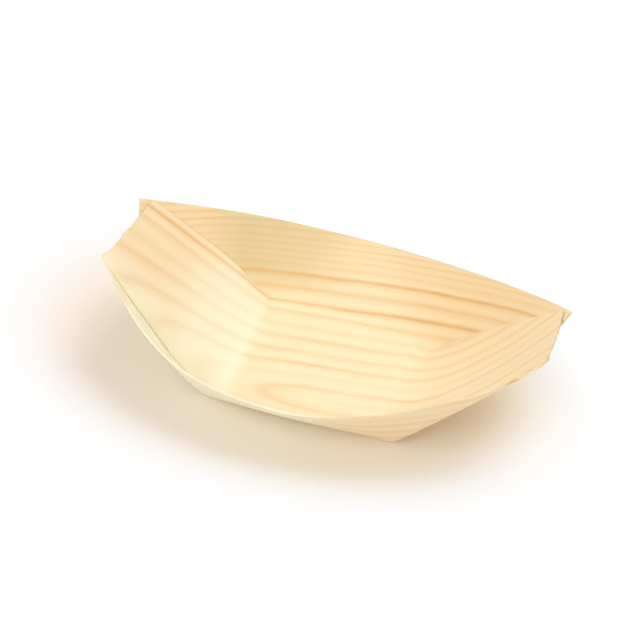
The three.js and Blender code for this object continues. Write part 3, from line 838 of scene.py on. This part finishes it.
def fibre_group():
    """Slender cones that stand along a line of points, each pointing about along the grain there."""
    inputs = {"Edge": "Geometry", "Count": "Int", "Length": "Float", "Thickness": "Float",
              "Shortest": "Float", "Thinnest": "Float", "Sides": "Int", "Segments": "Int", "Root": "Float",
              "Spread": "Float", "Share": "Float", "Seed": "Int", "Material": "Material"}
    tree, given, made = new_group("cut_fibres", "GeometryNodeTree", inputs, {"Fibres": "Geometry"})

    def random(data_type, slot, extra_seed, values):
        seed = maths(tree, "ADD", given["Seed"], float(extra_seed))
        node = place(tree, "FunctionNodeRandomValue", values | {"Seed": seed}, data_type=data_type)
        return node.outputs[slot]

    curve = place(tree, "GeometryNodeMeshToCurve", {"Mesh": given["Edge"]}).outputs["Curve"]
    roots = place(tree, "GeometryNodeCurveToPoints", {"Curve": curve, "Count": given["Count"]})
    roots = roots.outputs["Points"]
    grain = place(tree, "GeometryNodeInputNamedAttribute", {"Name": "grain"}, data_type="FLOAT_VECTOR")
    grain = grain.outputs["Attribute"]
    sunk = vectors(tree, "SCALE", grain, maths(tree, "MULTIPLY", given["Root"], -1.0))
    roots = place(tree, "GeometryNodeSetPosition", {"Geometry": roots, "Offset": sunk}).outputs["Geometry"]
    stray = random("FLOAT_VECTOR", 0, 1, {0: (-1.0, -1.0, -1.0), 1: (1.0, 1.0, 1.0)})
    stray = vectors(tree, "ADD", grain, vectors(tree, "SCALE", stray, given["Spread"]))
    turn = place(tree, "FunctionNodeAlignRotationToVector", {"Vector": stray}, axis="Z").outputs["Rotation"]
    long = random("FLOAT", 1, 2, {2: given["Shortest"], 3: 1.0})
    thick = random("FLOAT", 1, 3, {2: given["Thinnest"], 3: 1.0})
    size = place(tree, "ShaderNodeCombineXYZ", {"X": thick, "Y": thick, "Z": long}).outputs["Vector"]
    torn = random("BOOLEAN", 3, 4, {"Probability": given["Share"]})
    cone = place(tree, "GeometryNodeMeshCone", {
        "Vertices": given["Sides"], "Side Segments": given["Segments"], "Radius Top": 0.0,
        "Radius Bottom": given["Thickness"], "Depth": given["Length"]}).outputs["Mesh"]
    fibres = place(tree, "GeometryNodeInstanceOnPoints", {
        "Points": roots, "Selection": torn, "Instance": cone, "Rotation": turn, "Scale": size})
    whole = place(tree, "GeometryNodeRealizeInstances", {"Geometry": fibres.outputs["Instances"]})
    spot = tree.nodes.new("GeometryNodeInputPosition").outputs["Position"]
    stored = place(tree, "GeometryNodeStoreNamedAttribute", {
        "Geometry": whole.outputs["Geometry"], "Name": "sheet", "Value": spot},
        data_type="FLOAT2", domain="CORNER")
    finished = place(tree, "GeometryNodeSetMaterial", {
        "Geometry": stored.outputs["Geometry"], "Material": given["Material"]})
    tree.links.new(finished.outputs["Geometry"], made.inputs["Fibres"])
    return tree


fibre_tree = fibre_group()
for end, panel in end_panels.items():
    edge, below = panel.points[-1], panel.points[-3]
    edge_mesh = bpy.data.meshes.new(f"{end}_sawn_edge")
    edge_mesh.from_pydata(edge.tolist(), [(k, k + 1) for k in range(len(edge) - 1)], [])
    grain_along = edge_mesh.attributes.new("grain", "FLOAT_VECTOR", "POINT")
    grain_along.data.foreach_set("vector", unit(edge - below).ravel())
    fibre_mesh = evaluate(fibre_tree, {
        "Count": FIBRES, "Length": FIBRE_LENGTH, "Thickness": FIBRE_THICKNESS,
        "Shortest": SHORTEST_FIBRE, "Thinnest": THINNEST_FIBRE, "Sides": FIBRE_SIDES,
        "Segments": FIBRE_SEGMENTS, "Root": FIBRE_ROOT, "Spread": FIBRE_SPREAD, "Share": FIBRE_SHARE,
        "Seed": FIBRE_SEED[end], "Material": pine_cut}, edge_mesh)
    fibres = new_object(f"{end}_end_fibres", fibre_mesh)
    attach(fibres, "root")

# Pleat leaves
# At each corner the wall runs on behind the end panel as the outer leaf of a pleat, turns back on
# itself and comes forward again as the inner leaf, which is glued to the back of the panel.
FLAP_CENTRE_GAP = 0.0015
FLAP_DROP = 0.0065
CUT_INSET = {("left", "far"): 0.006, ("left", "near"): 0.002,
             ("right", "far"): 0.006, ("right", "near"): 0.0012}
LEAF_ROWS = 61
LEAF_COLUMNS = 31
EAR_COLUMNS = 7
LEAF_FOOT = 0.03


def leaf_fan(panel, side, insets, drops, rises, offset):
    """Points behind an end panel in a fan from the floor corner, with their places on the panel's
    part of the sheet. Each column ends at one inset from the mitre and one drop below the rim."""
    rise = rises[:, None] * (1 - drops / panel.length)
    inset = rises[:, None] * insets
    across = SIDE[side] * (1 - inset / np.interp(rise, panel.rise, panel.half_width))
    lift = offset * PLEAT_OPENING[panel.end, side] * smooth(rise / PLEAT_START)[..., None]
    points = panel.at(panel.back, across, rise) - panel.at(panel.inward, across, rise) * lift
    return points, panel.at(panel.sheet, across, rise)


def fold_inset(panel):
    """How far in from the mitre the fold between the two leaves ends."""
    return panel.half_width[-1] - FLAP_CENTRE_GAP / 2


def mirrored(places, start, stop):
    """Places on the sheet turned over across a fold line."""
    line = unit(stop - start)
    apart = places - start
    return start + 2 * (apart @ line)[..., None] * line - apart


def joined(places, fan, wedge):
    """Places on the sheet turned and moved so that they carry on a fan of columns after a wedge."""
    spots, fan = (grid[..., 0] + 1j * grid[..., 1] for grid in (places, fan))
    first, last = (fan[-1, k] - fan[0, k] for k in (0, -1))
    sense = np.sign((last / first).imag)
    turn = last / (spots[-1, 0] - spots[0, 0]) * np.exp(1j * sense * wedge)
    spots = fan[0, -1] + (spots - spots[0, 0]) * turn / abs(turn)
    return np.stack([spots.real, spots.imag], axis=-1)


def corner_leaves(end, side):
    """Adds the inner leaf of one corner, and its outer leaf from the ear to the fold between them."""
    panel = end_panels[end]
    rises = np.linspace(LEAF_FOOT, 1, LEAF_ROWS)
    fold = fold_inset(panel)
    insets = np.linspace(0, fold, LEAF_COLUMNS)
    inner, front = leaf_fan(panel, side, insets, FLAP_DROP * insets / fold, rises, INNER_LEAF_OFFSET)
    edge = -1 if SIDE[side] > 0 else 0
    inner_places = mirrored(front, panel.sheet[0, edge], panel.sheet[-1, edge])
    inner_mesh = veneer_shell(f"{side}_{end}_inner", inner, inner_places, free=("high", "low"))
    add_piece(f"{side}_{end}_inner_leaf", inner_mesh)

    reach = EAR_LENGTH[end, side]
    ear_line = (reach, 0.0) if end == "left" else (RIM_LENGTH - reach, RIM_LENGTH)
    ear, ear_places = wall_stretch(side, *ear_line, EAR_COLUMNS)
    height = lengths(ear[:, 0])
    up = rises * height[-1]
    ear, ear_places = (
        np.stack([[np.interp(up, height, grid[:, j, k]) for k in range(grid.shape[2])]
                  for j in range(EAR_COLUMNS)]).transpose(2, 0, 1)
        for grid in (ear, ear_places))
    cut = CUT_INSET[end, side]
    insets = np.linspace(cut, fold, LEAF_COLUMNS)
    drops = FLAP_DROP * (insets - cut) / (fold - cut)
    flat, front = leaf_fan(panel, side, insets, drops, rises, OUTER_LEAF_OFFSET)
    ear_line, flat_line = (unit(grid[-1] - grid[0]) for grid in (ear[:, -1], flat[:, 0]))
    flat_places = joined(front, ear_places, math.acos(ear_line @ flat_line))
    turn = np.linspace(0, math.pi, ROLL_STEPS + 1)[1:-1]
    outer_end, inner_end = flat[:, -1], inner[:, -1]
    half_gap = (inner_end - outer_end) / 2
    outward = unit(outer_end - flat[:, -2]) * np.linalg.norm(half_gap, axis=-1, keepdims=True)
    roll = (outer_end + half_gap)[:, None] - half_gap[:, None] * np.cos(turn)[:, None]
    roll = roll + outward[:, None] * np.sin(turn)[:, None]
    roll_places = np.repeat(flat_places[:, -1:], len(turn) + 1, axis=1)
    points = np.concatenate([ear, flat, roll, inner_end[:, None]], axis=1)
    places = np.concatenate([ear_places, flat_places, roll_places], axis=1)
    outer_mesh = veneer_shell(f"{side}_{end}_outer", points, places, free=("high", "low"))
    add_piece(f"{side}_{end}_outer_leaf", outer_mesh)


for end in SIGN:
    for side in SIDE:
        corner_leaves(end, side)

# Glue
# A thin film of clear glue, wiped on before the pleat was pressed, holds each inner leaf to the
# back of its end panel.
FILM_SHARES = (0.2, 0.85)
FILM_RISES = (0.5, 0.92)
FILM_STEPS = 24
FILM_OFFSET = VENEER / 2 + GLUE_SEAT + GLUE_FILM / 2
GLUE_PALE = (0.86, 0.74, 0.50, 1)
GLUE_AMBER = (0.74, 0.55, 0.28, 1)
GLUE_POOLS = {"Scale": 600.0, "Detail": 3.0}
GLUE_BUMP = {"Strength": 0.3, "Distance": 0.00005}
GLUE_EDGE = (0.3, 0.7)
GLUE_ROUGHNESS = (0.25, 0.45)


def glue_material():
    material, tree, shader = new_material("dried_glue")
    spot = tree.nodes.new("ShaderNodeTexCoord").outputs["Object"]
    pools = place(tree, "ShaderNodeTexNoise", GLUE_POOLS | {"Vector": spot}).outputs["Fac"]
    relief = place(tree, "ShaderNodeBump", GLUE_BUMP | {"Height": pools})
    tree.links.new(mixed(tree, pools, GLUE_PALE, GLUE_AMBER), shader.inputs["Base Color"])
    tree.links.new(ranged(tree, pools, *GLUE_EDGE, *GLUE_ROUGHNESS), shader.inputs["Roughness"])
    tree.links.new(relief.outputs["Normal"], shader.inputs["Normal"])
    return material


dried_glue = glue_material()
for end, panel in end_panels.items():
    for side in SIDE:
        film_shares = np.linspace(*FILM_SHARES, FILM_STEPS)
        film, film_places = leaf_fan(panel, side, film_shares * fold_inset(panel), film_shares * FLAP_DROP,
                                     np.linspace(*FILM_RISES, FILM_STEPS), FILM_OFFSET)
        film_mesh = veneer_shell(f"{side}_{end}_film", film, film_places, free=(), thickness=GLUE_FILM)
        film_mesh.materials.clear()
        film_mesh.materials.append(dried_glue)
        film_mesh.polygons.foreach_set("material_index", np.zeros(len(film_mesh.polygons), np.int32))
        add_piece(f"{side}_{end}_glue_film", film_mesh)

# Studio
# A plain matt table with white all round. Close to the boat, centred a little to its left, the table is
# cream with a faint red glow, painted warm shade over its shadow, and further out it is white. One soft
# lamp behind the boat throws its shadow forward, and another in front of it fills its inside.
TABLE_REACH = 3.0
TABLE_ROUGHNESS = 0.9
TABLE_WHITE = (0.97, 0.94, 0.89, 1)
# Seen close to the boat: cream with a faint red glow, painted warm shade over its shadow
TABLE_PAINTED_SHADE = (0.825, 0.80, 0.73, 1)
TABLE_PAINTED_GLOW = (0.05, 0.01, 0.0, 1)
# The oval where that painted shade and glow lie, and where it fades to white
SHADE_OVAL_MIDDLE = (-0.015, 0.0, 0.0)
SHADE_OVAL_SPAN = (0.105, 0.066, 1.0)
SHADE_OVAL_FADE = (0.6, 0.95)
WHITE = (1, 1, 1, 1)
BLACK = (0, 0, 0, 1)
ROOM_LIGHT = (1, 0.93, 0.83, 1)
ROOM_LEVEL = 0.6
# Azimuth and elevation in degrees, width in metres and power in watts
LAMPS = {"back_lamp": (150, 60, 0.8, 6.0), "front_lamp": (-18, 46, 1.0, 5.9)}
LAMP_COLOUR = (0.98, 1.0, 1.05)
LAMP_DISTANCE = 1.3
AIM = Vector((-0.00654, 0.00418, 0.0150))
CAMERA_DISTANCE = 0.7919
CAMERA_AZIMUTH = math.radians(21.5)
CAMERA_ELEVATION = math.radians(43.2)
LENS = 146.1


def direction(azimuth, elevation):
    """Unit vector towards a place round the boat. Azimuth 0 is in front of it."""
    level = math.cos(elevation)
    return Vector((math.sin(azimuth) * level, -math.cos(azimuth) * level, math.sin(elevation)))


def seen_rays(tree):
    """1 for rays from the camera, straight or by gloss or glass, and 0 for light."""
    ray = tree.nodes.new("ShaderNodeLightPath").outputs
    seen = maths(tree, "MAXIMUM", ray["Is Camera Ray"], ray["Is Glossy Ray"])
    return maths(tree, "MAXIMUM", seen, ray["Is Transmission Ray"])


def table_material():
    material, tree, shader = new_material("white_table")
    shader.inputs["Roughness"].default_value = TABLE_ROUGHNESS
    shader.inputs["Specular IOR Level"].default_value = 0.0
    spot = tree.nodes.new("ShaderNodeTexCoord").outputs["Object"]
    spot = vectors(tree, "DIVIDE", vectors(tree, "SUBTRACT", spot, SHADE_OVAL_MIDDLE), SHADE_OVAL_SPAN)
    far = ranged(tree, vectors(tree, "DISTANCE", spot, (0, 0, 0)), *SHADE_OVAL_FADE, 0.0, 1.0)
    seen = seen_rays(tree)
    # Painted warm shade and glow near the boat, plain white further out
    colour = mixed(tree, seen, TABLE_WHITE, mixed(tree, far, TABLE_PAINTED_SHADE, BLACK))
    tree.links.new(colour, shader.inputs["Base Color"])
    tree.links.new(mixed(tree, far, TABLE_PAINTED_GLOW, WHITE), shader.inputs["Emission Color"])
    tree.links.new(seen, shader.inputs["Emission Strength"])
    return material


table_mesh = bpy.data.meshes.new("table")
corners = [(x * TABLE_REACH, y * TABLE_REACH, 0) for x, y in ((-1, -1), (1, -1), (1, 1), (-1, 1))]
table_mesh.from_pydata(corners, [], [(0, 1, 2, 3)])
table_mesh.materials.append(table_material())
table = new_object("table", table_mesh)

for name, (azimuth, elevation, size, power) in LAMPS.items():
    lamp_data = bpy.data.lights.new(name, "AREA")
    lamp_data.shape = "DISK"
    lamp_data.size = size
    lamp_data.energy = power
    lamp_data.color = LAMP_COLOUR
    lamp = new_object(name, lamp_data)
    lamp.location = direction(math.radians(azimuth), math.radians(elevation)) * LAMP_DISTANCE
    lamp.rotation_euler = (-lamp.location).to_track_quat("-Z", "Y").to_euler()

world = bpy.data.worlds.new("white_room")
world.use_nodes = True
bpy.context.scene.world = world
room = world.node_tree.nodes["Background"].inputs
room_seen = seen_rays(world.node_tree)
world.node_tree.links.new(mixed(world.node_tree, room_seen, ROOM_LIGHT, WHITE), room["Color"])
level = maths(world.node_tree, "MULTIPLY_ADD", room_seen, 1 - ROOM_LEVEL, ROOM_LEVEL)
world.node_tree.links.new(level, room["Strength"])

camera_data = bpy.data.cameras.new("camera")
camera_data.lens = LENS
camera = new_object("camera", camera_data)
back = direction(CAMERA_AZIMUTH, CAMERA_ELEVATION)
camera.location = AIM + back * CAMERA_DISTANCE
camera.rotation_euler = (-back).to_track_quat("-Z", "Y").to_euler()
bpy.context.scene.camera = camera
bpy.context.scene.view_settings.view_transform = "Standard"
